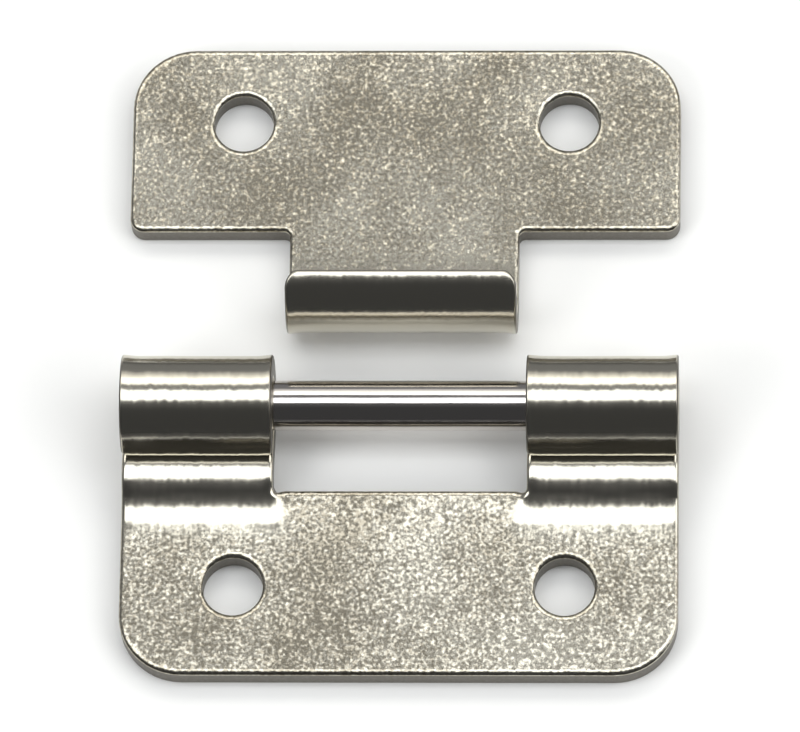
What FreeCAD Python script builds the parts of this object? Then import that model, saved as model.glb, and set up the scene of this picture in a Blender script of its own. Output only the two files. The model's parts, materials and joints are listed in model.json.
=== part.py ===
"""Take-apart hinge of pressed sheet steel, in millimetres.

Three pieces lie flat, unhooked and side by side on their back faces:
  pin_leaf   a screw plate whose two end straps are rolled into knuckles
  hinge_pin  a plain round pin held in the two knuckles, bare between them
  hook_leaf  a screw plate whose tongue is rolled into an open hook
The hook drops through the window behind the pin and closes round its bare middle.

+X runs along the pin, +Y from the pin leaf to the hook leaf, +Z out of the front faces.
Every leaf is first set out from its own roll's axis, then moved to its place on the table.
"""
import FreeCAD, Part
import math
import os
from FreeCAD import Vector

# ---- sheet and pin --------------------------------------------------
SHEET = 2.3                 # thickness of the steel strip
PIN_DIAMETER = 4.5
PIN_RECESS = 0.5            # pin end below the knuckle's outer end
PIN_CHAMFER = 0.35
BORE_PLAY = 0.05            # radial, pin in knuckle
HOOK_PLAY = 0.10            # radial, pin in hook

# ---- widths along the pin -------------------------------------------
LEAF_WIDTH = 50.0           # both leaves
KNUCKLE_WIDTH = 13.6        # each strap, measured in from the leaf's side
HOOK_SIDE_PLAY = 1.0        # hook's side to knuckle's inner end

# ---- lengths away from the pin --------------------------------------
PIN_LEAF_REACH = 24.8       # pin axis to far edge
HOOK_LEAF_REACH = 24.0      # hook axis to far edge
OUTER_CORNER = 5.7          # rounded far corners, both leaves
SHOULDER_CORNER = 1.3       # hook leaf's corners beside the tongue
NOTCH_FILLET = 0.7          # inside corners beside the tongue

# ---- screw holes ----------------------------------------------------
HOLE_DIAMETER = 5.4
HOLE_SPACING = 29.7
PIN_LEAF_HOLE_INSET = 8.4   # far edge to hole centre
HOOK_LEAF_HOLE_INSET = 7.3

# ---- hook -----------------------------------------------------------
TIP_ANGLE = 7.0             # degrees that the tip stops short of the crown
TIP_CORNER = 1.3
MOUTH_PLAY = 0.04           # pin past tip when the hook is pushed off
SHOULDER_PLAY = 0.06        # shoulder to knuckle at that moment
WINDOW_PLAY = 0.70          # hook to window edge at that moment

# ---- strap of each knuckle ------------------------------------------
STRAP_RISE = 15.5           # degrees, from under the pin up to the hump
HUMP_FALL = 24.5            # degrees, from the hump down to the plate
HUMP_OFFSET = 1.0           # knuckle's outside to the hump's corner
HUMP_BEND = 4.65            # bend radii at mid thickness
FOOT_BEND = 8.4
STRAP_TAIL = 1.0            # flat tail that overlaps the plate
SEAM = 0.10                 # rolled end to its own strap

# ---- place of the loose hook leaf -----------------------------------
LAYOUT_GAP = 5.0            # pin's surface to the hook's outside, as laid out

# ---- sizes that follow ----------------------------------------------
PIN_R = PIN_DIAMETER / 2
BORE_R = PIN_R + BORE_PLAY
KNUCKLE_R = BORE_R + SHEET
HOOK_BORE_R = PIN_R + HOOK_PLAY
HOOK_R = HOOK_BORE_R + SHEET
AXIS_Z = HOOK_R             # both backs lie on the same table
WINDOW_WIDTH = LEAF_WIDTH - 2 * KNUCKLE_WIDTH
TONGUE_WIDTH = WINDOW_WIDTH - 2 * HOOK_SIDE_PLAY
UNHOOK_SHIFT = PIN_R + MOUTH_PLAY - HOOK_BORE_R * math.sin(math.radians(TIP_ANGLE))
KNUCKLE_CHORD = math.sqrt(KNUCKLE_R ** 2 - HOOK_BORE_R ** 2)
SHOULDER = KNUCKLE_CHORD + UNHOOK_SHIFT + SHOULDER_PLAY
WINDOW_EDGE = HOOK_R + UNHOOK_SHIFT + WINDOW_PLAY
HOOK_AXIS_Y = PIN_R + LAYOUT_GAP + HOOK_R   # from the pin's axis


def polar(radius, degrees):
    """Point at an angle round the roll's axis, in the YZ plane."""
    a = math.radians(degrees)
    return Vector(0, radius * math.cos(a), AXIS_Z + radius * math.sin(a))


def roll(radius_in, start, end, x0, width):
    """Part of a tube about the roll's axis, from one angle to another, extruded along X."""
    radius_out = radius_in + SHEET
    middle = (start + end) / 2
    edges = [
        Part.Arc(polar(radius_out, start), polar(radius_out, middle), polar(radius_out, end)),
        Part.LineSegment(polar(radius_out, end), polar(radius_in, end)),
        Part.Arc(polar(radius_in, end), polar(radius_in, middle), polar(radius_in, start)),
        Part.LineSegment(polar(radius_in, start), polar(radius_out, start)),
    ]
    return prism(edges, x0, width)


def prism(curves, x0, width):
    """Closed outline in the YZ plane, extruded along X from x0."""
    face = Part.Face(Part.Wire([curve.toShape() for curve in curves]))
    solid = face.extrude(Vector(width, 0, 0))
    solid.translate(Vector(x0, 0, 0))
    return solid


def bent_strip(points, bends, x0, width):
    """Sheet whose mid line follows points in YZ, with a bend radius at each inner point."""
    sides = ([], [])
    starts = [points[0], points[0]]
    for i in range(1, len(points)):
        a, b = points[i - 1], points[i]
        along = (b - a).normalize()
        across = Vector(0, -along.z, along.y)
        if i == len(points) - 1:
            for side, sign in zip(sides, (1, -1)):
                end = b + across * (sign * SHEET / 2)
                side.append(Part.LineSegment(start_of(side, a, across, sign), end))
            break
        onward = (points[i + 1] - b).normalize()
        across_on = Vector(0, -onward.z, onward.y)
        turn = math.atan2(along.y * onward.z - along.z * onward.y, along.dot(onward))
        radius = bends[i - 1]
        setback = radius * math.tan(abs(turn) / 2)
        bend_in = b - along * setback
        bend_out = b + onward * setback
        centre = bend_in + across * math.copysign(radius, turn)
        bisector = (b - centre).normalize()
        for side, sign in zip(sides, (1, -1)):
            r = radius - sign * math.copysign(SHEET / 2, turn)
            p0 = bend_in + across * (sign * SHEET / 2)
            p1 = bend_out + across_on * (sign * SHEET / 2)
            side.append(Part.LineSegment(start_of(side, a, across, sign), p0))
            side.append(Part.Arc(p0, centre + bisector * r, p1))
    left, right = sides
    caps = [
        Part.LineSegment(left[-1].EndPoint, right[-1].EndPoint),
        Part.LineSegment(right[0].StartPoint, left[0].StartPoint),
    ]
    edges = left + [caps[0]] + [reversed_curve(c) for c in reversed(right)] + [caps[1]]
    return prism(edges, x0, width)


def start_of(side, point, across, sign):
    """Where a side's next straight run starts: at its last bend, or at the strip's end."""
    if side:
        return side[-1].EndPoint
    return point + across * (sign * SHEET / 2)


def reversed_curve(curve):
    """The same edge, drawn from its end to its start."""
    turned = curve.copy()
    turned.reverse()
    return turned


def plate(x_half, y0, y1):
    """Flat sheet on the table, centred on X, between two Y values."""
    return Part.makeBox(2 * x_half, y1 - y0, SHEET, Vector(-x_half, y0, 0))


def round_corners(solid, places, radius):
    """Fillet the upright edges that stand at the given (x, y) places."""
    edges = []
    for edge in solid.Edges:
        a, b = edge.Vertexes[0].Point, edge.Vertexes[-1].Point
        upright = abs(a.x - b.x) < 1e-6 and abs(a.y - b.y) < 1e-6
        if upright and any(abs(a.x - x) < 1e-4 and abs(a.y - y) < 1e-4 for x, y in places):
            edges.append(edge)
    return solid.makeFillet(radius, edges)


def drill(solid, y):
    """Two screw holes through a plate, at a distance from the roll's axis."""
    for x in (-HOLE_SPACING / 2, HOLE_SPACING / 2):
        hole = Part.makeCylinder(HOLE_DIAMETER / 2, 3 * SHEET, Vector(x, y, -SHEET))
        solid = solid.cut(hole)
    return solid


def make_pin_leaf():
    """Plate with two straps that climb a hump, dip under the pin and roll back over it."""
    half = LEAF_WIDTH / 2
    mid_z = SHEET / 2
    mid_r = BORE_R + mid_z
    rise = math.tan(math.radians(STRAP_RISE))
    under = polar(mid_r, -90 - STRAP_RISE)
    hump_y = -(KNUCKLE_R + HUMP_OFFSET)
    hump = Vector(0, hump_y, under.z + (under.y - hump_y) * rise)
    foot_y = hump.y - (hump.z - mid_z) / math.tan(math.radians(HUMP_FALL))
    foot = Vector(0, foot_y, mid_z)
    foot_end = foot_y - FOOT_BEND * math.tan(math.radians(HUMP_FALL / 2))
    tail = Vector(0, foot_end - STRAP_TAIL, mid_z)

    body = plate(half, -PIN_LEAF_REACH, foot_end)
    corners = [(s * half, -PIN_LEAF_REACH) for s in (-1, 1)]
    body = round_corners(body, corners, OUTER_CORNER)
    body = body.fuse(plate(WINDOW_WIDTH / 2, foot_end, -WINDOW_EDGE))

    # The roll stops where its end almost touches its own strap.
    reach_round = math.degrees(math.acos((BORE_R - SEAM) / KNUCKLE_R))
    roll_end = 270 - STRAP_RISE - reach_round
    for x0 in (-half, half - KNUCKLE_WIDTH):
        strap = bent_strip([tail, foot, hump, under], [FOOT_BEND, HUMP_BEND], x0, KNUCKLE_WIDTH)
        knuckle = roll(BORE_R, -90 - STRAP_RISE, roll_end, x0, KNUCKLE_WIDTH)
        body = body.fuse(strap).fuse(knuckle)
    return drill(body.removeSplitter(), -PIN_LEAF_REACH + PIN_LEAF_HOLE_INSET)


def make_hook_leaf():
    """Plate with a narrower tongue that runs under the pin, round it and back over the top."""
    half = LEAF_WIDTH / 2
    tongue = TONGUE_WIDTH / 2
    body = plate(half, SHOULDER, HOOK_LEAF_REACH)
    body = body.fuse(plate(tongue, 0, SHOULDER)).removeSplitter()
    ends = [(s * half, HOOK_LEAF_REACH) for s in (-1, 1)]
    shoulders = [(s * half, SHOULDER) for s in (-1, 1)]
    notches = [(s * tongue, SHOULDER) for s in (-1, 1)]
    body = round_corners(body, ends, OUTER_CORNER)
    body = round_corners(body, shoulders, SHOULDER_CORNER)
    body = round_corners(body, notches, NOTCH_FILLET)

    hook = roll(HOOK_BORE_R, -270 + TIP_ANGLE, -90, -tongue, TONGUE_WIDTH)
    tip_y = -HOOK_R * math.sin(math.radians(TIP_ANGLE))
    for side in (-1, 1):
        hook = hook.cut(tip_cutter(side, side * tongue, tip_y))
    body = body.fuse(hook).removeSplitter()
    body = drill(body, HOOK_LEAF_REACH - HOOK_LEAF_HOLE_INSET)
    body.translate(Vector(0, HOOK_AXIS_Y, 0))
    return body


def tip_cutter(side, x, y):
    """Square corner less its quarter circle, over the top half of the hook only."""
    spare = 1.0
    x_in = x - side * TIP_CORNER
    low = min(x_in, x + side * spare)
    box = Part.makeBox(TIP_CORNER + spare, TIP_CORNER + spare, HOOK_R + spare,
                       Vector(low, y - TIP_CORNER, AXIS_Z))
    core = Part.makeCylinder(TIP_CORNER, HOOK_R + spare, Vector(x_in, y - TIP_CORNER, AXIS_Z))
    return box.cut(core)


def make_hinge_pin():
    """Round pin, chamfered at both ends, lying in the two knuckles."""
    length = LEAF_WIDTH - 2 * PIN_RECESS
    pin = Part.makeCylinder(PIN_R, length, Vector(-length / 2, 0, AXIS_Z), Vector(1, 0, 0))
    rims = [edge for edge in pin.Edges if edge.isClosed()]
    return pin.makeChamfer(PIN_CHAMFER, rims)


def centred(shape, middle_y):
    """The piece's one solid, moved so that the laid-out hinge's middle stands at the origin."""
    solid = shape.Solids[0].copy()
    solid.translate(Vector(0, -middle_y, 0))
    return solid


os.makedirs("parts", exist_ok=True)
MIDDLE_Y = (HOOK_AXIS_Y + HOOK_LEAF_REACH - PIN_LEAF_REACH) / 2
for name, make in (
    ("pin_leaf", make_pin_leaf),
    ("hook_leaf", make_hook_leaf),
    ("hinge_pin", make_hinge_pin),
):
    piece = centred(make(), MIDDLE_Y)
    box = piece.BoundBox
    print(name, piece.ShapeType, len(piece.Solids), "solid", piece.isValid(),
          "volume %.1f" % piece.Volume,
          "x %.2f %.2f y %.2f %.2f z %.2f %.2f" % (box.XMin, box.XMax, box.YMin, box.YMax,
                                                  box.ZMin, box.ZMax))
    piece.exportStep("parts/%s.step" % name)
print("pin axis y %.3f z %.3f, hook axis y %.3f" % (-MIDDLE_Y, AXIS_Z, HOOK_AXIS_Y - MIDDLE_Y))
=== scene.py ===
# %% [markdown]
# # A take-apart hinge in pressed steel
# The hinge is two pressings and a length of bar. One pressing has two straps rolled into knuckles that
# hold the pin. The other has a tongue rolled into an open hook, which closes round the pin's bare
# middle. Here they lie unhooked on a pale table. The imported model gives every place and size, so it is
# read first, and its parts stay in the scene, hidden, once the new pieces take their place.

# %% Load the fixed frame
import json
import math

import bpy
import numpy as np
from mathutils import Matrix, Vector
from mathutils.geometry import delaunay_2d_cdt


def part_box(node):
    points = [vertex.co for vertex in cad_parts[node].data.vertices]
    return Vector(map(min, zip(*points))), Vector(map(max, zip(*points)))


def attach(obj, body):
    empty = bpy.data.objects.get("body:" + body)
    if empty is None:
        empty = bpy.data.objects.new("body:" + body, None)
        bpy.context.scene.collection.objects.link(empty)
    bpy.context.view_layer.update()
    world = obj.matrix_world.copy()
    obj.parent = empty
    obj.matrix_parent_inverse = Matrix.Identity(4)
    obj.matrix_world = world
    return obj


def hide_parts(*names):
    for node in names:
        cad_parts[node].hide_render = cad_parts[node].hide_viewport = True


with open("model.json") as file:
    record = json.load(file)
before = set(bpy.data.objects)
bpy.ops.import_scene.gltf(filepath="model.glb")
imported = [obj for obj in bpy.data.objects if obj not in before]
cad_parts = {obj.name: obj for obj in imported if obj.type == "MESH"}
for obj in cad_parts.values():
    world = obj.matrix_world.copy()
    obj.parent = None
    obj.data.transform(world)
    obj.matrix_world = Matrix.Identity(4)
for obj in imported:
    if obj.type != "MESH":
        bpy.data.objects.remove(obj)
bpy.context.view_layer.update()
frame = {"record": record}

# %% [markdown]
# ## Sizes
# Blender works in metres and a press shop in millimetres, so each shop size is written as a number
# times MM. What the frame knows is read from the frame: the leaf's width, the pin, the roll's axis and
# the screw holes. What it can't give, such as the width of a strap, is named here once.

# %% Sizes that the frame gives
MM = 0.001
mounts = {m["name"]: m for m in frame["record"]["mounts"]}
leaf_low, leaf_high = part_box("pin_leaf")
hook_low, hook_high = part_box("hook_leaf")
pin_low, pin_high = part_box("hinge_pin")

half_width = leaf_high.x
sheet = 2 * mounts["pin_leaf_screws"]["pos_m"][2]
axis_z = (pin_low.z + pin_high.z) / 2
pin_y = (pin_low.y + pin_high.y) / 2
pin_radius = (pin_high.z - pin_low.z) / 2
knuckle_radius = leaf_high.z - axis_z
hook_radius = axis_z
hook_y = hook_low.y + hook_radius
print("pin radius %.2f mm, sheet %.2f mm" % (pin_radius / MM, sheet / MM))

# %% Sizes that the press tools give
OUTER_CORNER = 5.7 * MM
SHOULDER_CORNER = 1.3 * MM
NOTCH_FILLET = 0.6 * MM
ROLL_CORNER = 0.95 * MM
TIP_CORNER = 1.3 * MM
STRAP_WIDTH = 13.6 * MM
TONGUE_PLAY = 1.0 * MM
WINDOW_EDGE = 7.354 * MM   # from the pin's axis to the window's edge
SHOULDER = 6.018 * MM      # from the hook's axis to the plate's shoulders
STRAP_RISE = math.radians(15.5)
HUMP_FALL = math.radians(24.5)
HUMP_OFFSET = 1.0 * MM
HUMP_BEND = 4.65 * MM
FOOT_BEND = 8.4 * MM
SEAM = 0.10 * MM           # between a roll's end and its own strap
TIP_ANGLE = math.radians(7.0)
STRAIGHT = 1e-9            # turns and curvatures below this count as none

strap_inner = half_width - STRAP_WIDTH
tongue_half = strap_inner - TONGUE_PLAY
print("strap inner edge %.1f mm, tongue edge %.1f mm" % (strap_inner / MM, tongue_half / MM))

# %% [markdown]
# ## A bent strip as a path
# Sheet metal bends without stretching along its mid line, so a strip is drawn as the tool maker draws
# it: a list of runs, each a length and a turn. A point of the flat blank is then found on the finished
# part from how far along the strip it lies. The alternative, bending a mesh with modifiers, gives no
# control over where one bend stops and the next starts.

# %% Follow the mid line
def mid_line(runs, start):
    """Table of the runs (length, turn): where each begins, its heading and its curvature."""
    rows = []
    s, (a, z), heading = 0.0, start, 0.0
    for length, turn in runs:
        k = turn / length
        rows.append((s, a, z, heading, k))
        if abs(turn) > STRAIGHT:
            a += (math.sin(heading + turn) - math.sin(heading)) / k
            z -= (math.cos(heading + turn) - math.cos(heading)) / k
        else:
            a += length * math.cos(heading)
            z += length * math.sin(heading)
        heading += turn
        s += length
    return {"rows": np.array(rows), "length": s}


def along(line, s):
    """Mid line at length s. On an arc of curvature k the place is the integral of the heading:
    a = a0 + (sin(h) - sin(h0)) / k and z = z0 - (cos(h) - cos(h0)) / k, with h = h0 + k (s - s0)."""
    rows = line["rows"]
    i = np.clip(np.searchsorted(rows[:, 0], s, side="right") - 1, 0, len(rows) - 1)
    s0, a0, z0, h0, k = rows[i].T
    ds = s - s0
    h = h0 + k * ds
    bent = np.abs(k) > STRAIGHT
    safe = np.where(bent, k, 1.0)
    a = np.where(bent, a0 + (np.sin(h) - np.sin(h0)) / safe, a0 + ds * np.cos(h0))
    z = np.where(bent, z0 - (np.cos(h) - np.cos(h0)) / safe, z0 + ds * np.sin(h0))
    return a, z, h


def pin_leaf_line():
    """Flat plate, foot bend, hump, run down under the pin, and the roll back over it."""
    mid = sheet / 2
    mid_r = knuckle_radius - mid
    under = (-mid_r * math.sin(STRAP_RISE), axis_z - mid_r * math.cos(STRAP_RISE))
    hump_a = -(knuckle_radius + HUMP_OFFSET)
    hump = (hump_a, under[1] + (under[0] - hump_a) * math.tan(STRAP_RISE))
    foot = (hump_a - (hump[1] - mid) / math.tan(HUMP_FALL), mid)
    foot_set = FOOT_BEND * math.tan(HUMP_FALL / 2)
    hump_set = HUMP_BEND * math.tan((HUMP_FALL + STRAP_RISE) / 2)
    bore = knuckle_radius - sheet
    roll_turn = 2 * math.pi - math.acos((bore - SEAM) / knuckle_radius)
    far = leaf_low.y - pin_y
    runs = [
        (foot[0] - foot_set - far, 0.0),
        (FOOT_BEND * HUMP_FALL, HUMP_FALL),
        (math.dist(foot, hump) - foot_set - hump_set, 0.0),
        (HUMP_BEND * (HUMP_FALL + STRAP_RISE), -(HUMP_FALL + STRAP_RISE)),
        (math.dist(hump, under) - hump_set, 0.0),
        (mid_r * roll_turn, roll_turn),
    ]
    return mid_line(runs, (far, mid))


def hook_leaf_line():
    """Flat plate, then one roll under, round and over the pin, short of the crown by the tip angle."""
    mid_r = hook_radius - sheet / 2
    far = hook_y - hook_high.y
    turn = math.pi - TIP_ANGLE
    return mid_line([(-far, 0.0), (mid_r * turn, turn)], (far, sheet / 2))


pin_line = pin_leaf_line()
hook_line = hook_leaf_line()
print("developed lengths, mm: %.1f and %.1f" % (pin_line["length"] / MM, hook_line["length"] / MM))

# %% [markdown]
# ## The blank's outline
# A blank is cut by a punch, so its outline is straight sides and rounded corners. Each corner is a
# point and a radius. Outlines run with the steel on their left, and each sampled point also gets the
# direction that points out of the steel, which the rounded edge needs.

# %% Sample an outline
SIDE_STEP = 0.22 * MM
ARC_STEP = math.radians(6.0)
SMALL_ARC_SHARE = 0.7      # arcs under 1 mm need fewer points
LEAST_ARC_STEPS = 4
HOLE_SIDES = 96


def outline(corners):
    """Closed outline from (x, s, radius) corners. A corner is an arc tangent to its two sides, set
    back from the point by radius * tan(turn / 2); sides are cut into equal steps."""
    points, normals = [], []
    spots = np.array([c[:2] for c in corners])
    heads = np.roll(spots, -1, axis=0) - spots
    angles = np.arctan2(heads[:, 1], heads[:, 0])
    for i, (x, s, radius) in enumerate(corners):
        a_in, a_out = angles[i - 1], angles[i]
        turn = (a_out - a_in + math.pi) % (2 * math.pi) - math.pi
        sign = math.copysign(1.0, turn)
        setback = radius * math.tan(abs(turn) / 2)
        way_in = np.array([math.cos(a_in), math.sin(a_in)])
        left = np.array([-way_in[1], way_in[0]])
        centre = np.array([x, s]) - way_in * setback + left * sign * radius
        share = 1 if radius > MM else SMALL_ARC_SHARE
        steps = max(LEAST_ARC_STEPS, int(abs(turn) / ARC_STEP * share))
        head = a_in + turn * np.linspace(0, 1, steps + 1)
        out = np.stack([np.sin(head), -np.cos(head)], axis=1)
        arc = centre + sign * radius * out
        if points:
            add_side(points, normals, arc[0])
        points.append(arc)
        normals.append(out)
    add_side(points, normals, points[0][0])
    return np.concatenate(points), np.concatenate(normals)


def add_side(points, normals, end):
    """Straight side from the last arc to end, without its two end points."""
    start = points[-1][-1]
    length = np.linalg.norm(end - start)
    count = max(1, int(length / SIDE_STEP))
    t = np.linspace(0, 1, count + 1)[1:-1, None]
    points.append(start + (end - start) * t)
    normals.append(np.repeat(normals[-1][-1:], len(t), axis=0))


def hole_outline(x, s, radius):
    """Round hole, run the other way round so that the steel stays on its left."""
    t = np.linspace(0, -2 * math.pi, HOLE_SIDES, endpoint=False)
    out = -np.stack([np.cos(t), np.sin(t)], axis=1)
    return np.array([x, s]) - radius * out, out


# %% The two blanks' outlines
def pin_leaf_outline():
    """Screw plate with two straps and the window between them."""
    w, inner, end = half_width, strap_inner, pin_line["length"]
    window = -WINDOW_EDGE - (leaf_low.y - pin_y)
    right = [(w, 0, OUTER_CORNER), (w, end, ROLL_CORNER), (inner, end, ROLL_CORNER),
             (inner, window, NOTCH_FILLET)]
    left = [(-x, s, r) for x, s, r in reversed(right)]
    return outline(right + left)


def hook_leaf_outline():
    """Screw plate with a narrower tongue."""
    w, tongue, end = half_width, tongue_half, hook_line["length"]
    step = hook_high.y - hook_y - SHOULDER
    right = [(w, 0, OUTER_CORNER), (w, step, SHOULDER_CORNER), (tongue, step, NOTCH_FILLET),
             (tongue, end, TIP_CORNER)]
    left = [(-x, s, r) for x, s, r in reversed(right)]
    return outline(right + left)


def screw_holes(mount, far_y, toward):
    """Outlines of a leaf's holes, from the mount's centre, spacing and hole radius."""
    dims = mounts[mount]["dims"]
    s = (mounts[mount]["pos_m"][1] - far_y) * toward
    x = dims["spacing_x_mm"] / 2 * MM
    return [hole_outline(side * x, s, dims["hole_r_mm"] * MM) for side in (-1, 1)]


print("outline points:", len(pin_leaf_outline()[0]), "and", len(hook_leaf_outline()[0]))

# %% [markdown]
# ## From outline to blank
# A punch drags the edge of the face it enters into a soft roll and leaves the other face sharper. The
# rim is a profile carried along the outline: a quarter ellipse on the front, a straight cut wall, and a
# small round on the back. The two faces inside the rims are filled with a triangulation that takes the
# rim's own points and a grid of points between them, so the sheet has points enough to bend.

# %% Rim profile
ROLL_IN = 0.55 * MM
ROLL_DOWN = 0.32 * MM
BACK_ROUND = 0.22 * MM
FRONT_STATIONS = 8
BACK_STATIONS = 5


def rim_profile():
    """Stations (inset, height, normal angle above the outline's plane), from front to back."""
    t = np.linspace(0, math.pi / 2, FRONT_STATIONS)
    front = np.stack([
        ROLL_IN * (1 - np.sin(t)),
        sheet / 2 - ROLL_DOWN * (1 - np.cos(t)),
        np.arctan2(np.cos(t) * ROLL_IN, np.sin(t) * ROLL_DOWN),
    ], axis=1)
    u = np.linspace(0, math.pi / 2, BACK_STATIONS)
    back = np.stack([
        BACK_ROUND * (1 - np.cos(u)),
        -sheet / 2 + BACK_ROUND * (1 - np.sin(u)),
        -u,
    ], axis=1)
    return np.concatenate([front, back])


# %% Fill a face with triangles
GRID_CLEAR = 0.12 * MM
CHUNK = 500                # grid points measured at a time, to spare memory
LEVEL = 1e-12              # stands in for the rise of a level side
SAME_POINT = 1e-6          # mm


def inside(points, loop):
    """Even-odd test: a point is inside if a ray along +x crosses the loop an odd number of times."""
    x, y = points[:, None, 0], points[:, None, 1]
    a, b = loop, np.roll(loop, -1, axis=0)
    spans = (a[None, :, 1] > y) != (b[None, :, 1] > y)
    rise = b[:, 1] - a[:, 1]
    rise = np.where(np.abs(rise) < LEVEL, LEVEL, rise)
    cross = a[None, :, 0] + (y - a[None, :, 1]) * (b[:, 0] - a[:, 0]) / rise
    return (np.sum(spans & (x < cross), axis=1) % 2) == 1


def fill(loops, grid):
    """Triangles between an outer loop and its holes. Grid points too near a loop are dropped.
    Returns the kept grid points and triangles, which index the loops' points first."""
    ring = np.concatenate(loops)
    keep = inside(grid, loops[0])
    for hole in loops[1:]:
        keep &= ~inside(grid, hole)
    grid = grid[keep]
    near = np.concatenate([
        np.min(np.linalg.norm(part[:, None] - ring[None], axis=2), axis=1)
        for part in np.array_split(grid, max(1, len(grid) // CHUNK))
    ])
    grid = grid[near > GRID_CLEAR]
    points = np.concatenate([ring, grid])
    edges, start = [], 0
    for loop in loops:
        n = len(loop)
        edges += [(start + i, start + (i + 1) % n) for i in range(n)]
        start += n
    scale = 1 / MM         # the triangulation's tolerance suits millimetres
    out = delaunay_2d_cdt([Vector(p) for p in points * scale], edges, [], 1, SAME_POINT)
    made = np.array([tuple(v) for v in out[0]]) / scale
    tris = np.array(out[2])
    centre = made[tris].mean(axis=1)
    solid = inside(centre, loops[0])
    for hole in loops[1:]:
        solid &= ~inside(centre, hole)
    source = np.array([o[0] if o else -1 for o in out[3]])
    tris = source[tris[solid]]
    a, b, c = (points[tris[:, k]] for k in range(3))
    area = (b[:, 0] - a[:, 0]) * (c[:, 1] - a[:, 1]) - (b[:, 1] - a[:, 1]) * (c[:, 0] - a[:, 0])
    tris[area < 0] = tris[area < 0][:, ::-1]
    return grid, tris


# %% Put a blank together
def blank(outer, holes, rows, columns):
    """Closed flat sheet: points (x, s, h), normals in the same axes, and faces."""
    loops = [outer] + holes
    profile = rim_profile()
    points, normals, faces, rings = [], [], [], []
    start = 0
    for at, out in loops:
        n = len(at)
        for inset, height, angle in profile:
            points.append(np.column_stack([at - out * inset, np.full(n, height)]))
            normals.append(np.column_stack([out * math.cos(angle), np.full(n, math.sin(angle))]))
        i = np.arange(n)
        j = (i + 1) % n
        for k in range(len(profile) - 1):
            upper, lower = start + k * n, start + (k + 1) * n
            faces += np.column_stack([lower + i, lower + j, upper + j, upper + i]).tolist()
        rings.append((start, n))
        start += n * len(profile)
    gx, gs = np.meshgrid(columns, rows)
    grid = np.column_stack([gx.ravel(), gs.ravel()])
    last = len(profile) - 1
    for station, side in ((0, 1), (last, -1)):
        inset = profile[station][0]
        inner = [at - out * inset for at, out in loops]
        spare, tris = fill(inner, grid)
        lookup = [first + station * n + np.arange(n) for first, n in rings]
        lookup = np.concatenate(lookup + [start + np.arange(len(spare))])
        points.append(np.column_stack([spare, np.full(len(spare), side * sheet / 2)]))
        normals.append(np.tile([0, 0, float(side)], (len(spare), 1)))
        tris = lookup[tris]
        faces += (tris if side > 0 else tris[:, ::-1]).tolist()
        start += len(spare)
    return np.concatenate(points), np.concatenate(normals), faces


def bend_rows(line, flat_step, bent_step):
    """Rows across the strip, wide apart on the flat plate and close together from its first bend on."""
    rows, starts = [], list(line["rows"][:, 0]) + [line["length"]]
    for i in range(len(line["rows"])):
        step = flat_step if i == 0 else bent_step
        count = max(1, int((starts[i + 1] - starts[i]) / step))
        rows.append(np.linspace(starts[i], starts[i + 1], count + 1)[:-1])
    return np.concatenate(rows)


# %% [markdown]
# ## Pressing the blank
# The press carries each blank point (x, s, h) to its place: along the mid line by s, and off it by h.
# Four things keep the result from looking like a drawing. Between the straps the plate stays flat, so
# the hump fades out over a millimetre or more beside each strap. A roll thins the sheet on its outside,
# and a bend makes the strip saddle-shaped, so that its side edges stand proud of its middle. The plate
# doesn't quite flatten behind the hump. And rolled steel is never quite true, so a hundredth of a
# millimetre of waviness bends the reflections. The surface's normals come from the same function by
# small steps, so they stay exact where the mesh is coarse.

# %% Small true-shape effects
THINNING = 0.13 * MM
THINNING_END = 2.5 * MM    # the roll's last stretch, where thinning fades out
FLARE_WIDTH = 0.80 * MM
FLARE_START = 1.5 * MM     # from where the edge is free
FLARE_END = 2.0 * MM       # before the roll's end
BEND_REACH = 0.7 * MM
FADE = 1.1 * MM
FADE_SPREAD = 0.45         # extra fade width for each millimetre towards the screw plate
SPRING = 0.20 * MM
SPRING_LENGTH = 5.0 * MM
SETTLE = 2.0 * MM
SPRING_HELD = 5.5 * MM     # past the foot of the hump, to about its crest
SPRING_LOST = 4.5 * MM     # from there to the knuckle
WAVE = 0.006 * MM
NORMAL_STEP = 1e-3 * MM


def smooth(t):
    """Smooth step: 0 below 0, 1 above 1, and 3 t^2 - 2 t^3 between."""
    t = np.clip(t, 0, 1)
    return t * t * (3 - 2 * t)


def bend_of(line, s):
    """Curvature averaged over a short length, so that edge effects come and go softly: the change of
    heading from one reach behind s to one ahead of it, over twice the reach."""
    return (along(line, s + BEND_REACH)[2] - along(line, s - BEND_REACH)[2]) / (2 * BEND_REACH)


def wave(x, s):
    """Waviness left by the press: a sum of three slanting sine waves, 6 to 20 mm long."""
    return WAVE * (np.sin(x / (1.7 * MM) + s / (2.9 * MM))
                   + 0.8 * np.sin(x / (0.93 * MM) - s / (1.9 * MM))
                   + 0.7 * np.sin(x / (3.1 * MM) + 1.3 + s / (1.1 * MM)))


def saddle(leaf, x, s):
    """How strongly the side edges stand proud, from 0 to 1: exp(-(distance to the edge / width)^2),
    starting softly where the edge is free and ending softly before the roll's end."""
    ax = np.abs(x)
    proud = np.exp(-((leaf["outer"] - ax) / FLARE_WIDTH) ** 2)
    started = smooth((s - leaf["free_from"]) / FLARE_START)
    if leaf["inner"] > 0:
        proud = proud + started * np.exp(-((ax - leaf["inner"]) / FLARE_WIDTH) ** 2)
    else:
        proud = proud * started
    return proud * smooth((leaf["line"]["length"] - s) / FLARE_END)


def hump_share(leaf, x, s):
    """How much of the hump a point takes: 1 on the straps, 0 between them. The change is as wide as
    the fade at the window's edge and grows wider towards the screw plate."""
    width = FADE + FADE_SPREAD * np.maximum(leaf["free_from"] - s, 0)
    return smooth((np.abs(x) - leaf["inner"] + width) / width)


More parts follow.
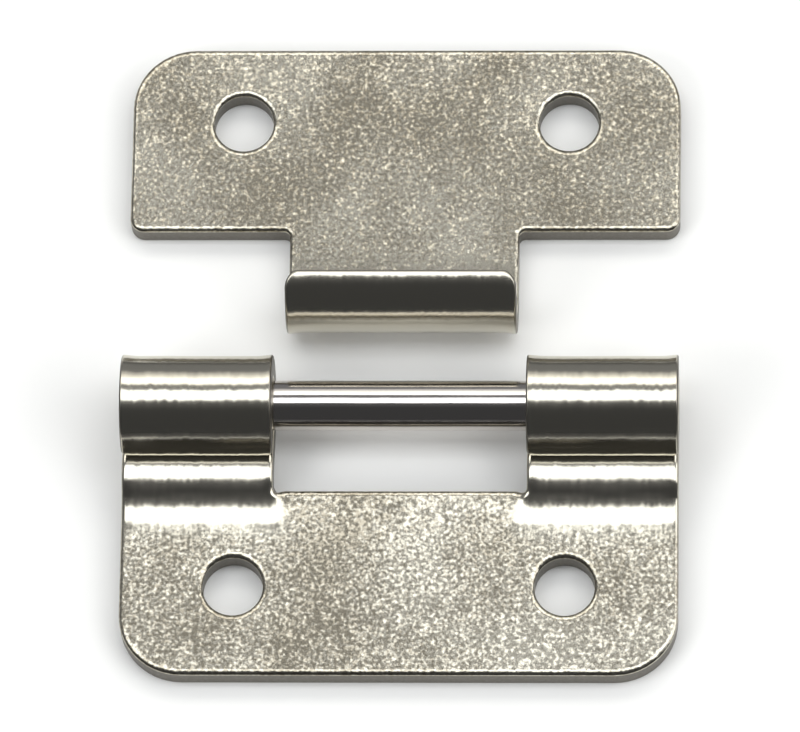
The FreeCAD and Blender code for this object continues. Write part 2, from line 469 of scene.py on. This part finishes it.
def spring(leaf, s, on_strap):
    """Plate that doesn't quite flatten after pressing: its height falls off as exp(-distance / length)
    behind the foot of the hump. Past the foot it grows on between the straps. On the straps it levels
    off as settle * (1 - exp(-distance / settle)), and returns to nothing before the knuckle."""
    foot = leaf["line"]["rows"][1][0]
    past = np.maximum(s - foot, 0)
    level = SETTLE * (1 - np.exp(-past / SETTLE))
    grown = (past + (level - past) * on_strap) / SPRING_LENGTH
    rise = np.exp(-np.maximum(foot - s, 0) / SPRING_LENGTH) + grown
    return SPRING * rise * (1 - on_strap * smooth((past - SPRING_HELD) / SPRING_LOST))


# %% Carry blank points to the finished leaf
def press(leaf, x, s, h):
    """Place of blank point (x, s, h): mid line at s, plus h along the line's own normal. Bend is 1 in
    the roll, less in gentler bends and negative over the hump. Thinning is full on the roll's outside,
    at h = -sheet / 2, and nothing on its inside."""
    line = leaf["line"]
    bend = bend_of(line, s) * leaf["tightest"]
    outside = (0.5 - h / sheet) * smooth((line["length"] - s) / THINNING_END)
    h = h + THINNING * np.maximum(bend, 0) * outside - bend * leaf["flare"] * saddle(leaf, x, s)
    h = h + wave(x, s) * smooth(2 * np.abs(bend))
    a, z, turn = along(line, s)
    a, z = a - h * np.sin(turn), z + h * np.cos(turn)
    if leaf["inner"] > 0:
        lifted = hump_share(leaf, x, s)
        a0, z0, _ = line["rows"][0][1:4]
        a = a0 + s + (a - a0 - s) * lifted
        z = z0 + h + (z - z0 - h) * lifted + spring(leaf, s, lifted)
    return np.stack([leaf["toward"] * x, leaf["axis_y"] + leaf["toward"] * a, z], axis=-1)


def pressed(leaf, points, normals):
    """Finished points, and normals carried by the cross products of the map's three derivatives."""
    x, s, h = points.T
    e = NORMAL_STEP
    by_x = press(leaf, x + e, s, h) - press(leaf, x - e, s, h)
    by_s = press(leaf, x, s + e, h) - press(leaf, x, s - e, h)
    by_h = press(leaf, x, s, h + e) - press(leaf, x, s, h - e)
    n = (normals[:, :1] * np.cross(by_s, by_h) + normals[:, 1:2] * np.cross(by_h, by_x)
         + normals[:, 2:] * np.cross(by_x, by_s))
    return press(leaf, x, s, h), n / np.linalg.norm(n, axis=1, keepdims=True)


# %% Make the mesh
def add_piece(name, points, normals, faces, blank_xy, masks):
    """Mesh with its own normals, a UV map of the flat blank in metres, and a value per mask name."""
    mesh = bpy.data.meshes.new(name)
    mesh.from_pydata(points.tolist(), [], faces)
    mesh.update()
    loops = np.empty(len(mesh.loops), dtype=np.int64)
    mesh.loops.foreach_get("vertex_index", loops)
    uv = mesh.uv_layers.new(name="blank")
    uv.data.foreach_set("uv", blank_xy[loops].astype(np.float32).ravel())
    for key, values in masks.items():
        mask = mesh.attributes.new(key, "FLOAT", "POINT")
        mask.data.foreach_set("value", values.astype(np.float32))
    mesh.polygons.foreach_set("use_smooth", np.ones(len(mesh.polygons), dtype=bool))
    mesh.normals_split_custom_set_from_vertices(normals.tolist())
    piece = bpy.data.objects.new(name, mesh)
    bpy.context.collection.objects.link(piece)
    print(name, len(mesh.vertices), "points", len(mesh.polygons), "faces")
    return piece


# %% [markdown]
# ## The two leaves
# Both leaves use the same functions. The hook leaf is the same kind of blank, turned half round about
# the vertical so that its roll faces the pin leaf. The grain attribute says where the steel keeps the
# pebbled skin of the strip, and where the press tools have burnished it away on the bends. The cut
# attribute marks the sheared edges and their back rounds. The grey it brings on the back rounds is
# painted shade, a dark outline along the edges.

# %% Pin leaf
FLAT_ROW = 0.9 * MM
BENT_ROW = 0.20 * MM
BURNISH_LEAD = 2.2 * MM    # the tools rub the strip from here before the hump
BURNISH_LENGTH = 3.0 * MM

pin_leaf = {
    "line": pin_line,
    "axis_y": pin_y,
    "toward": 1,
    "inner": strap_inner,
    "outer": half_width,
    "free_from": -WINDOW_EDGE - (leaf_low.y - pin_y),
    "tightest": knuckle_radius - sheet / 2,
    "flare": THINNING,
}


def pin_leaf_grain(x, s):
    """Full on the plate, gone on the straps from the foot of the hump."""
    foot = pin_line["rows"][1][0]
    strap = hump_share(pin_leaf, x, s)
    burnished = smooth((s - foot + BURNISH_LEAD) / BURNISH_LENGTH)
    return 1 - strap * burnished


def cut_and_outline_share(flat_normals, h):
    """Sheared wall and back round (the burr side) of the blank: 1 where the normal lies in the sheet's
    own plane or turns towards the back, and 0 on the rolled front edge and on both faces. On the back
    round the grey that this mask brings is painted shade: a dark outline along the edges of rolls and
    plates."""
    front = smooth(1 - 3 * flat_normals[:, 2])
    back = smooth((1 + flat_normals[:, 2]) * 6)
    return front * back * (h < sheet / 2 - ROLL_DOWN * 0.9)


def make_leaf(name, leaf, outer, holes, grain_of, columns):
    """Blank with its rim and both faces, pressed to shape, with its grain and cut attributes."""
    rows = bend_rows(leaf["line"], FLAT_ROW, BENT_ROW)
    flat, flat_normals, faces = blank(outer, holes, rows, columns)
    points, normals = pressed(leaf, flat, flat_normals)
    # the cut mask greys the sheared walls, and on the back rounds it paints shade as a dark outline
    masks = {"grain": grain_of(flat[:, 0], flat[:, 1]), "cut": cut_and_outline_share(flat_normals, flat[:, 2])}
    return add_piece(name, points, normals, faces, flat[:, :2], masks)


def mirrored(columns):
    """The same column places on both sides of the middle."""
    return np.concatenate([-columns[::-1], columns])


# Columns stand wide apart between the straps and close together on them.
pin_columns = mirrored(np.concatenate([
    np.linspace(0.45 * MM, strap_inner - FADE, 11, endpoint=False),
    np.linspace(strap_inner - FADE, half_width - 0.3 * MM, 34),
]))
pin_leaf_holes = screw_holes("pin_leaf_screws", leaf_low.y, 1)
pin_leaf_piece = make_leaf("pin_leaf_plate", pin_leaf, pin_leaf_outline(), pin_leaf_holes,
                           pin_leaf_grain, pin_columns)

# %% Hook leaf
TONGUE_FREE = 2.0 * MM     # past the shoulders, where the tongue's edges can flare
HOOK_FLARE = 0.8           # the hook's wider roll flares less than a knuckle
TONGUE_BURNISH_LEAD = 4.5 * MM
TONGUE_BURNISH_LENGTH = 5.0 * MM

hook_leaf = {
    "line": hook_line,
    "axis_y": hook_y,
    "toward": -1,
    "inner": 0.0,
    "outer": tongue_half,
    "free_from": hook_high.y - hook_y - SHOULDER + TONGUE_FREE,
    "tightest": hook_radius - sheet / 2,
    "flare": HOOK_FLARE * THINNING,
}


def hook_leaf_grain(x, s):
    """Full on the plate, fading along the tongue towards the roll, the same across its width."""
    root = hook_line["rows"][1][0]
    return 1 - smooth((s - root + TONGUE_BURNISH_LEAD) / TONGUE_BURNISH_LENGTH)


hook_columns = mirrored(np.concatenate([
    np.linspace(0.3 * MM, tongue_half - 0.3 * MM, 22),
    np.linspace(tongue_half + 0.4 * MM, half_width - 0.6 * MM, 18),
]))
hook_leaf_holes = screw_holes("hook_leaf_screws", hook_high.y, -1)
hook_leaf_piece = make_leaf("hook_leaf_plate", hook_leaf, hook_leaf_outline(), hook_leaf_holes,
                            hook_leaf_grain, hook_columns)

# %% [markdown]
# ## The pin
# A pin is cut from bright-drawn bar and its ends are broken by a small chamfer, so it is a profile
# turned about the X axis. The profile's corners are short arcs, because a real edge always catches a
# line of light.

# %% Turn the pin
PIN_CHAMFER = 0.35 * MM
PIN_SIDES = 128
CHAMFER_STATIONS = 9
SIDE_STATIONS = 40


def pin_profile():
    """Half of the end and side as (x, r, normal angle): face, rounded chamfer, and the long side."""
    end = pin_high.x
    t = np.linspace(0, math.pi / 2, CHAMFER_STATIONS)
    face = np.array([[end, r * (pin_radius - PIN_CHAMFER), 0.0] for r in (0.33, 0.66)])
    corner = np.column_stack([
        end - PIN_CHAMFER + PIN_CHAMFER * np.cos(t),
        pin_radius - PIN_CHAMFER + PIN_CHAMFER * np.sin(t),
        t,
    ])
    side = np.array([[x, pin_radius, math.pi / 2] for x in np.linspace(end - MM, 0, SIDE_STATIONS)])
    return np.concatenate([face, corner, side])


def make_pin():
    """Surface of revolution: (x, r cos t, r sin t), closed by a point on the axis at each end."""
    half = pin_profile()
    other = half[:-1][::-1] * [-1, 1, -1] + [0, 0, math.pi]
    profile = np.concatenate([half, other])
    t = np.linspace(0, 2 * math.pi, PIN_SIDES, endpoint=False)
    x, r, angle = (profile[:, k, None] for k in range(3))
    y, z = np.cos(t), np.sin(t)
    ring = np.stack([x + 0 * t, r * y, r * z], axis=-1)
    out = np.stack([np.cos(angle) + 0 * t, np.sin(angle) * y, np.sin(angle) * z], axis=-1)
    n, m = len(profile), PIN_SIDES
    i, j = np.meshgrid(np.arange(n - 1), np.arange(m), indexing="ij")
    k = (j + 1) % m
    quads = np.stack([i * m + j, i * m + k, (i + 1) * m + k, (i + 1) * m + j], axis=-1)
    quads = quads.reshape(-1, 4)[:, ::-1]
    ends = n * m + np.arange(2)
    loop = np.arange(m)
    first = np.column_stack([np.full(m, ends[0]), loop, (loop + 1) % m])
    last = np.column_stack([np.full(m, ends[1]), (n - 1) * m + (loop + 1) % m, (n - 1) * m + loop])
    points = np.concatenate([ring.reshape(-1, 3), [[pin_high.x, 0, 0], [-pin_high.x, 0, 0]]])
    points = points + [0, pin_y, axis_z]
    normals = np.concatenate([out.reshape(-1, 3), [[1, 0, 0], [-1, 0, 0]]])
    faces = quads.tolist() + first.tolist() + last.tolist()
    around = np.concatenate([np.tile(t * pin_radius, n), [0, 0]])
    flat = np.column_stack([points[:, 0], around])
    return add_piece("turned_pin", points, normals, faces, flat, {})


pin_piece = make_pin()

# %% [markdown]
# ## Materials
# All three pieces are plated steel, so all are metals, and differ in colour, roughness and skin.
# Colours are written as sRGB hex values, as a paint card has them, and turned to the linear values that
# the shader works in. A Mix node's inputs 2 and 3 are its two numbers, and 6 and 7 its two colours.

# %% Colour and node helpers
def linear(hex_colour):
    """sRGB hex to linear RGBA: c / 12.92 below 0.04045, else ((c + 0.055) / 1.055) ^ 2.4."""
    c = np.array([int(hex_colour[i:i + 2], 16) for i in (1, 3, 5)]) / 255
    low = c / 12.92
    high = ((c + 0.055) / 1.055) ** 2.4
    return (*np.where(c <= 0.04045, low, high), 1.0)


def add(tree, kind, links=None, **settings):
    """Add a node, set its properties and input values by name, and link its inputs."""
    node = tree.nodes.new(kind)
    for key, value in settings.items():
        if hasattr(node, key):
            setattr(node, key, value)
        else:
            node.inputs[key.replace("_", " ")].default_value = value
    for key, socket in (links or {}).items():
        tree.links.new(socket, node.inputs[key])
    return node


def new_material(name):
    """Empty node material and its output node."""
    material = bpy.data.materials.new(name)
    material.use_nodes = True
    tree = material.node_tree
    tree.nodes.clear()
    return material, tree, tree.nodes.new("ShaderNodeOutputMaterial")


# %% [markdown]
# ## Plated pressed steel
# The leaves are mild steel strip, pickled, pressed, tumbled in a barrel and plated. Pickling leaves
# small pebbles where the strip stays flat, the press tools rub them away on the bends, and the sheared
# edges stay dull. The pebbles tilt the normal instead of standing up as a height bump, because a noise
# that is the same in all directions gives an even sparkle, with no streaks.

# %% Pebbles and tool marks
PEBBLE_SIZE = 0.32 * MM
PEBBLE_DEPTH = 0.30
TOOL_MARK_SIZE = 0.30 * MM    # real marks are finer; drawn as coarse as they need to show
TOOL_MARK_DEPTH = 0.085
TOOL_MARK_STRETCH = (0.7, 0.22, 1.0)


def skin_normal(tree, place, flat, grain):
    """Unit vector of normal + grain * depth * (pebble noise - 0.5) + depth * (tool mark noise - 0.5)."""
    normal = add(tree, "ShaderNodeNewGeometry").outputs["Normal"]
    pebble = add(tree, "ShaderNodeTexNoise", {"Vector": place}, Scale=1 / PEBBLE_SIZE, Detail=2.0,
                 Roughness=0.55)
    drawn = add(tree, "ShaderNodeMapping", {"Vector": flat}, Scale=TOOL_MARK_STRETCH)
    mark = add(tree, "ShaderNodeTexNoise", {"Vector": drawn.outputs[0]}, Scale=1 / TOOL_MARK_SIZE,
               Detail=2.0)
    pebbled = add(tree, "ShaderNodeVectorMath", {0: pebble.outputs["Color"]}, operation="SUBTRACT")
    pebbled.inputs[1].default_value = (0.5, 0.5, 0.5)
    marked = add(tree, "ShaderNodeVectorMath", {0: mark.outputs["Color"]}, operation="SUBTRACT")
    marked.inputs[1].default_value = (0.5, 0.5, 0.5)
    depth = add(tree, "ShaderNodeMath", {0: grain}, operation="MULTIPLY")
    depth.inputs[1].default_value = PEBBLE_DEPTH
    deep = add(tree, "ShaderNodeVectorMath", {0: pebbled.outputs[0], "Scale": depth.outputs[0]},
               operation="SCALE")
    faint = add(tree, "ShaderNodeVectorMath", {0: marked.outputs[0]}, operation="SCALE")
    faint.inputs["Scale"].default_value = TOOL_MARK_DEPTH
    both = add(tree, "ShaderNodeVectorMath", {0: deep.outputs[0], 1: faint.outputs[0]}, operation="ADD")
    tilted = add(tree, "ShaderNodeVectorMath", {0: normal, 1: both.outputs[0]}, operation="ADD")
    return add(tree, "ShaderNodeVectorMath", {0: tilted.outputs[0]}, operation="NORMALIZE").outputs[0]


# %% Stains and colour
SPECK_SIZE = 0.33 * MM
CLOUD_SIZE = 11 * MM
PLATING = "#CCC7B8"
STAINED_PLATING = "#9E9787"
# grey of the sheared walls; on the back rounds the same grey is painted shade, a dark outline
CUT_AND_OUTLINE_GREY = "#77736B"


def skin_colour(tree, place, grain, cut):
    """Plating that darkens where a fine and a broad noise add up to little, on the pebbled skin only,
    and a greyer colour on the sheared walls and back rounds. On the back rounds that grey is painted
    shade, a dark outline along the edges."""
    speck = add(tree, "ShaderNodeTexNoise", {"Vector": place}, Scale=1 / SPECK_SIZE, Detail=1.0)
    cloud = add(tree, "ShaderNodeTexNoise", {"Vector": place}, Scale=1 / CLOUD_SIZE, Detail=2.0)
    spots = add(tree, "ShaderNodeMath", {0: speck.outputs["Fac"], 1: cloud.outputs["Fac"]},
                operation="ADD")
    spot = add(tree, "ShaderNodeMapRange", {"Value": spots.outputs[0]}, From_Min=1.18, From_Max=0.82)
    stain = add(tree, "ShaderNodeMath", {0: spot.outputs[0], 1: grain}, operation="MULTIPLY")
    tint = add(tree, "ShaderNodeMix", {"Factor": stain.outputs[0]}, data_type="RGBA")
    tint.inputs[6].default_value = linear(PLATING)
    tint.inputs[7].default_value = linear(STAINED_PLATING)
    # sheared walls and back rounds go grey; on the back rounds this is a painted dark outline (painted
    # shade)
    edge = add(tree, "ShaderNodeMix", {"Factor": cut, 6: tint.outputs[2]}, data_type="RGBA")
    edge.inputs[7].default_value = linear(CUT_AND_OUTLINE_GREY)
    return edge.outputs[2]


# %% The leaves' material
BURNISHED_ROUGHNESS = 0.16
PEBBLED_ROUGHNESS = 0.21
CUT_ROUGHNESS = 0.42


def plated_pressed_steel():
    """Metal whose roughness goes from burnished to pebbled with the grain, and up on the cut edges."""
    material, tree, out = new_material("plated_pressed_steel")
    place = add(tree, "ShaderNodeTexCoord").outputs["Object"]
    flat = add(tree, "ShaderNodeUVMap", uv_map="blank").outputs[0]
    grain = add(tree, "ShaderNodeAttribute", attribute_name="grain").outputs["Fac"]
    # the cut attribute also carries the painted dark outline (painted shade) on the back rounds
    cut = add(tree, "ShaderNodeAttribute", attribute_name="cut").outputs["Fac"]
    skin = add(tree, "ShaderNodeMapRange", {"Value": grain}, To_Min=BURNISHED_ROUGHNESS,
               To_Max=PEBBLED_ROUGHNESS)
    rough = add(tree, "ShaderNodeMix", {0: cut, 2: skin.outputs[0]}, data_type="FLOAT")
    rough.inputs[3].default_value = CUT_ROUGHNESS
    steel = add(tree, "ShaderNodeBsdfPrincipled",
                {"Base Color": skin_colour(tree, place, grain, cut), "Roughness": rough.outputs[0],
                 "Normal": skin_normal(tree, place, flat, grain)},
                Metallic=1.0)
    tree.links.new(steel.outputs[0], out.inputs[0])
    print(material.name, len(tree.nodes), "nodes")
    return material


# %% [markdown]
# ## Bright-drawn bar
# The pin's bar is pulled through a die, which leaves it smooth and round with faint lines along its
# length, and it is then plated. A noise stretched along the bar gives the lines.

# %% The pin's material
DRAWN_LINE_WIDTH = 0.15 * MM    # real lines are finer; drawn as coarse as they need to show
DRAWN_LINE_DEPTH = 0.002 * MM
DRAWN_LINE_STRETCH = (0.03, 1.0, 1.0)
BAR_SMOOTHEST = 0.07
BAR_ROUGHEST = 0.15
BRIGHT_PLATING = "#CDC8C2"


def bright_drawn_bar():
    """Metal with a bump and a roughness that both follow the drawn lines."""
    material, tree, out = new_material("bright_drawn_bar")
    flat = add(tree, "ShaderNodeUVMap", uv_map="blank").outputs[0]
    stretch = add(tree, "ShaderNodeMapping", {"Vector": flat}, Scale=DRAWN_LINE_STRETCH)
    lines = add(tree, "ShaderNodeTexNoise", {"Vector": stretch.outputs[0]},
                Scale=1 / DRAWN_LINE_WIDTH, Detail=2.0)
    bump = add(tree, "ShaderNodeBump", {"Height": lines.outputs["Fac"]}, Strength=1.0,
               Distance=DRAWN_LINE_DEPTH)
    rough = add(tree, "ShaderNodeMapRange", {"Value": lines.outputs["Fac"]}, To_Min=BAR_SMOOTHEST,
                To_Max=BAR_ROUGHEST)
    steel = add(tree, "ShaderNodeBsdfPrincipled",
                {"Roughness": rough.outputs[0], "Normal": bump.outputs[0]},
                Metallic=1.0, Base_Color=linear(BRIGHT_PLATING))
    tree.links.new(steel.outputs[0], out.inputs[0])
    print(material.name, len(tree.nodes), "nodes")
    return material


# %% Give each piece its material and body
leaf_steel = plated_pressed_steel()
pin_steel = bright_drawn_bar()
for piece, material, body, node, slot in (
    (pin_leaf_piece, leaf_steel, "pin_leaf", "pin_leaf", "leaf_plate"),
    (hook_leaf_piece, leaf_steel, "hook_leaf", "hook_leaf", "leaf_plate"),
    (pin_piece, pin_steel, "hinge_pin", "hinge_pin", "pin_steel"),
):
    piece.data.materials.append(material)
    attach(piece, body)
    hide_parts(node)

# %% [markdown]
# ## Table and surround
# The hinge lies on pale card. Round the card, beyond the picture, lies dark felt. It is only there for
# the metal to mirror, so that its edges and rolls get the dark outlines that a shiny part has when it
# is set down on a small card.

# %% Table and surround
TABLE_REACH = 3.0
FELT_REACH = 2.0
CARD_REACH = 46 * MM
FELT_LIFT = 0.2 * MM


def lay_flat(name, patches, z, material_name, colour):
    """Matt horizontal rectangles (x0, x1, y0, y1) at height z, marked as stage."""
    points, faces = [], []
    for x0, x1, y0, y1 in patches:
        faces.append(tuple(range(len(points), len(points) + 4)))
        points += [(x0, y0, z), (x1, y0, z), (x1, y1, z), (x0, y1, z)]
    mesh = bpy.data.meshes.new(name)
    mesh.from_pydata(points, [], faces)
    ground = bpy.data.objects.new(name, mesh)
    bpy.context.collection.objects.link(ground)
    material, tree, out = new_material(material_name)
    matt = add(tree, "ShaderNodeBsdfPrincipled", Base_Color=linear(colour), Roughness=0.9)
    tree.links.new(matt.outputs[0], out.inputs[0])
    mesh.materials.append(material)
    print(name, len(faces), "faces")
    return ground


lay_flat("table", [(-TABLE_REACH, TABLE_REACH, -TABLE_REACH, TABLE_REACH)], 0, "white_card", "#F4F4F2")
felt = lay_flat("dark_surround", [
    (-FELT_REACH, FELT_REACH, CARD_REACH, FELT_REACH),
    (-FELT_REACH, FELT_REACH, -FELT_REACH, -CARD_REACH),
    (-FELT_REACH, -CARD_REACH, -CARD_REACH, CARD_REACH),
    (CARD_REACH, FELT_REACH, -CARD_REACH, CARD_REACH),
], FELT_LIFT, "dark_felt", "#4A4A4C")
felt.visible_camera = False
felt.visible_diffuse = False
felt.visible_shadow = False

# %% [markdown]
# ## Light
# Bright metal shows its surroundings, so the lamps are laid out as the metal needs them. One long
# softbox hangs overhead and a second one stands beyond it, with a gap between them. The flat plates
# mirror that gap, so they look mid grey, and their pebbles pick up a sparkle from the boxes on either
# side. The far box grows dimmer towards the horizon, in three steps. A square box on the right
# brightens that side, and two fills light only the table. Towards the camera the room stays dark,
# which gives the rolls their dark lower halves.

# %% Softboxes
BOX_LENGTH = 1.3
BOX_DISTANCE = 0.80
COOL = (0.96, 0.98, 1.0)
WARM = (1.0, 0.985, 0.94)


def softbox(name, low_angle, high_angle, radiance, colour):
    """Long area light that fills the given angles from the vertical, positive beyond the hinge.
    Its power is radiance * pi * area, so brightness doesn't change with its size."""
    middle = math.radians((low_angle + high_angle) / 2)
    spread = math.radians(high_angle - low_angle)
    lamp = bpy.data.lights.new(name, "AREA")
    lamp.shape = "RECTANGLE"
    lamp.size = BOX_LENGTH
    lamp.size_y = 2 * BOX_DISTANCE * math.tan(spread / 2)
    lamp.color = colour
    lamp.energy = radiance * math.pi * lamp.size * lamp.size_y
    box = bpy.data.objects.new(name, lamp)
    box.location = (0, BOX_DISTANCE * math.sin(middle), BOX_DISTANCE * math.cos(middle))
    box.rotation_euler = (-middle, 0, 0)
    box.visible_camera = False
    bpy.context.collection.objects.link(box)


softbox("overhead_softbox", -9, 14.5, 2.6, COOL)
softbox("far_softbox", 29, 46, 2.3, WARM)
softbox("far_softbox_middle", 46, 54, 1.1, WARM)
softbox("far_softbox_low", 54, 62, 0.5, WARM)

# %% Side boxes
SIDE_BOX_SIZE = 0.8
SIDE_BOX_HEIGHT = 0.75


def side_box(name, x, y, radiance, mirrored_too):
    """Square area light to one side, aimed at the hinge. The fills only light the table, because a
    fill that the metal mirrored would put stray dots on the knuckles' ends."""
    lamp = bpy.data.lights.new(name, "AREA")
    lamp.shape = "SQUARE"
    lamp.size = SIDE_BOX_SIZE
    lamp.energy = radiance * math.pi * lamp.size ** 2
    box = bpy.data.objects.new(name, lamp)
    box.location = (x, y, SIDE_BOX_HEIGHT)
    box.rotation_mode = "QUATERNION"
    box.rotation_quaternion = (-box.location).to_track_quat("-Z", "Y")
    box.visible_camera = False
    box.visible_glossy = mirrored_too
    bpy.context.collection.objects.link(box)


side_box("right_softbox", 1.15, 0.15, 1.8, True)
side_box("right_fill", 1.05, -0.60, 3.0, False)
side_box("left_fill", -1.05, -0.60, 4.0, False)
print("lamps:", ", ".join(lamp.name for lamp in bpy.data.lights))

# %% Dim room
NEAR_GLOW = 0.065
FAR_GLOW = 0.26

world = bpy.data.worlds.new("dim_room")
bpy.context.scene.world = world
world.use_nodes = True
room = world.node_tree
room.nodes.clear()
look = add(room, "ShaderNodeTexCoord").outputs["Generated"]
axes = add(room, "ShaderNodeSeparateXYZ", {0: look})
far = add(room, "ShaderNodeMapRange", {"Value": axes.outputs["Y"]}, From_Min=-0.5, From_Max=0.35,
          To_Min=NEAR_GLOW, To_Max=FAR_GLOW)
glow = add(room, "ShaderNodeBackground", {"Strength": far.outputs[0]}, Color=(0.93, 0.95, 1.0, 1.0))
sky = room.nodes.new("ShaderNodeOutputWorld")
room.links.new(glow.outputs[0], sky.inputs[0])

# %% [markdown]
# ## Camera
# The camera looks down steeply from the pin leaf's side, and a little from the right. It starts square
# to the hinge and is then turned about its own upright axis, because turning it round the table would
# tilt the pin in the picture. The lens follows from the width that the picture takes in.

# %% Camera
VIEW_ELEVATION = math.radians(68.5)
VIEW_SIDE = math.radians(2.6)
VIEW_DISTANCE = 0.80
FRAME_WIDTH = 72.2 * MM
TARGET = Vector((-0.2 * MM, -0.8 * MM, sheet))

camera_data = bpy.data.cameras.new("camera")
camera_data.sensor_width = 36.0
camera_data.lens = camera_data.sensor_width * VIEW_DISTANCE / FRAME_WIDTH
camera_data.clip_start = 0.01
camera_data.clip_end = 20.0
camera = bpy.data.objects.new("camera", camera_data)
bpy.context.collection.objects.link(camera)
straight = Vector((0, -math.cos(VIEW_ELEVATION), math.sin(VIEW_ELEVATION)))
right = Vector((1, 0, 0))
up = straight.cross(right)
back = straight * math.cos(VIEW_SIDE) + right * math.sin(VIEW_SIDE)
side = right * math.cos(VIEW_SIDE) - straight * math.sin(VIEW_SIDE)
camera.location = TARGET + back * VIEW_DISTANCE
camera.rotation_mode = "QUATERNION"
camera.rotation_quaternion = Matrix((side, up, back)).transposed().to_quaternion()
bpy.context.scene.camera = camera
bpy.context.scene.view_settings.view_transform = "Standard"
print("lens %.0f mm, camera at %.3f %.3f %.3f" % (camera_data.lens, *camera.location))
